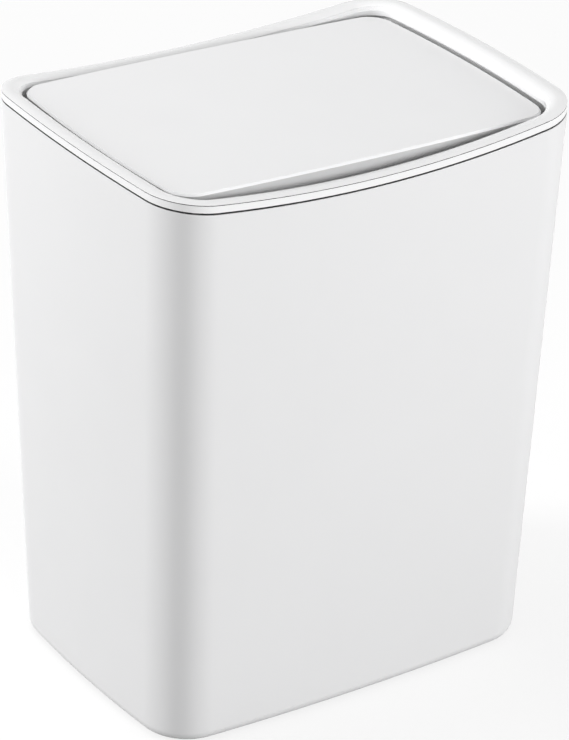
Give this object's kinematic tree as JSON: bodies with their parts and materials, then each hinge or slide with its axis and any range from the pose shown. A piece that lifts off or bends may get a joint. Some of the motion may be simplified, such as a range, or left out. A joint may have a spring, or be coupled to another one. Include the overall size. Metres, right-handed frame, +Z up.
{
  "type": "touch top trash can",
  "caption": "Tapered rectangular kitchen bin with bowed sides, a saddle-shaped lift-off lid frame and a back-hinged flap that is pressed at the front edge to spring open.",
  "frame": {"origin": "middle of the base, on the surface that the bin stands on", "axes": "+Z up; -Y towards the front short side, where the flap is pressed; the hinge lies along X at the +Y side"},
  "size_m": [0.2292, 0.3046, 0.3801],
  "materials": {
    "body_plastic": "white moulded plastic, satin",
    "frame_plastic": "white moulded plastic, glossy",
    "flap_plastic": "white moulded plastic, fine satin texture",
    "liner_plastic": "white moulded plastic, satin",
    "latch_plastic": "grey acetal, as moulded",
    "plunger_plastic": "white acetal, as moulded",
    "bright_steel": "drawn steel rod",
    "spring_steel": "spring wire",
    "zinc_steel": "zinc plated",
    "strike_steel": "zinc plated sheet",
    "magnet_iron": "sintered ferrite, ground"
  },
  "bodies": {
    "bin": {"bin_body": "body_plastic"},
    "lid_frame": {"frame_collar": "frame_plastic", "frame_bezel": "frame_plastic", "hinge_bracket_left": "latch_plastic", "hinge_bracket_right": "latch_plastic", "bracket_screws": "zinc_steel", "latch_housing": "latch_plastic", "latch_cover": "latch_plastic", "latch_screws": "zinc_steel", "latch_spring": "spring_steel", "hinge_spring_left": "spring_steel", "hinge_spring_right": "spring_steel"},
    "rod": {"hinge_rod": "bright_steel", "rod_clips": "spring_steel"},
    "flap": {"flap_cover": "flap_plastic", "flap_liner": "liner_plastic", "liner_screws": "zinc_steel", "strike_plate": "strike_steel", "strike_rivets": "strike_steel"},
    "plunger": {"latch_plunger": "plunger_plastic", "latch_magnet": "magnet_iron"},
    "cam_pin": {"latch_pin": "spring_steel"}
  },
  "joints": [
    {"name": "frame_lift", "type": "slide", "parent": "bin", "child": "lid_frame", "axis": [0, 0, 1], "range_m": [0, 0.12]},
    {"name": "flap_press", "type": "hinge", "parent": "lid_frame", "child": "rod", "pos_m": [0, 0.117, 0.365], "axis": [-1, 0, 0], "range_deg": [-0.38, 1.32], "stiffness_Nm_per_rad": 60, "springref_deg": 0.27},
    {"name": "flap_open", "type": "hinge", "parent": "rod", "child": "flap", "pos_m": [0, 0.117, 0.365], "axis": [-1, 0, 0], "range_deg": [0, 84], "deforming": ["hinge_spring_left", "hinge_spring_right"]},
    {"name": "latch_plunge", "type": "slide", "parent": "lid_frame", "child": "plunger", "axis": [0, 0, 1], "range_m": [-0.0017, 0.0056], "deforming": ["latch_spring"]},
    {"name": "cam_pin_swing", "type": "hinge", "parent": "lid_frame", "child": "cam_pin", "pos_m": [0, -0.12965, 0.333], "axis": [0, 1, 0], "range_deg": [-1.8, 6.1]}
  ],
  "couplings": [
    {"joint": "latch_plunge", "follows": "flap_press", "m_per_rad": 0.239},
    {"joint": "cam_pin_swing", "follows": "flap_press", "ratio": 4.541}
  ]
}
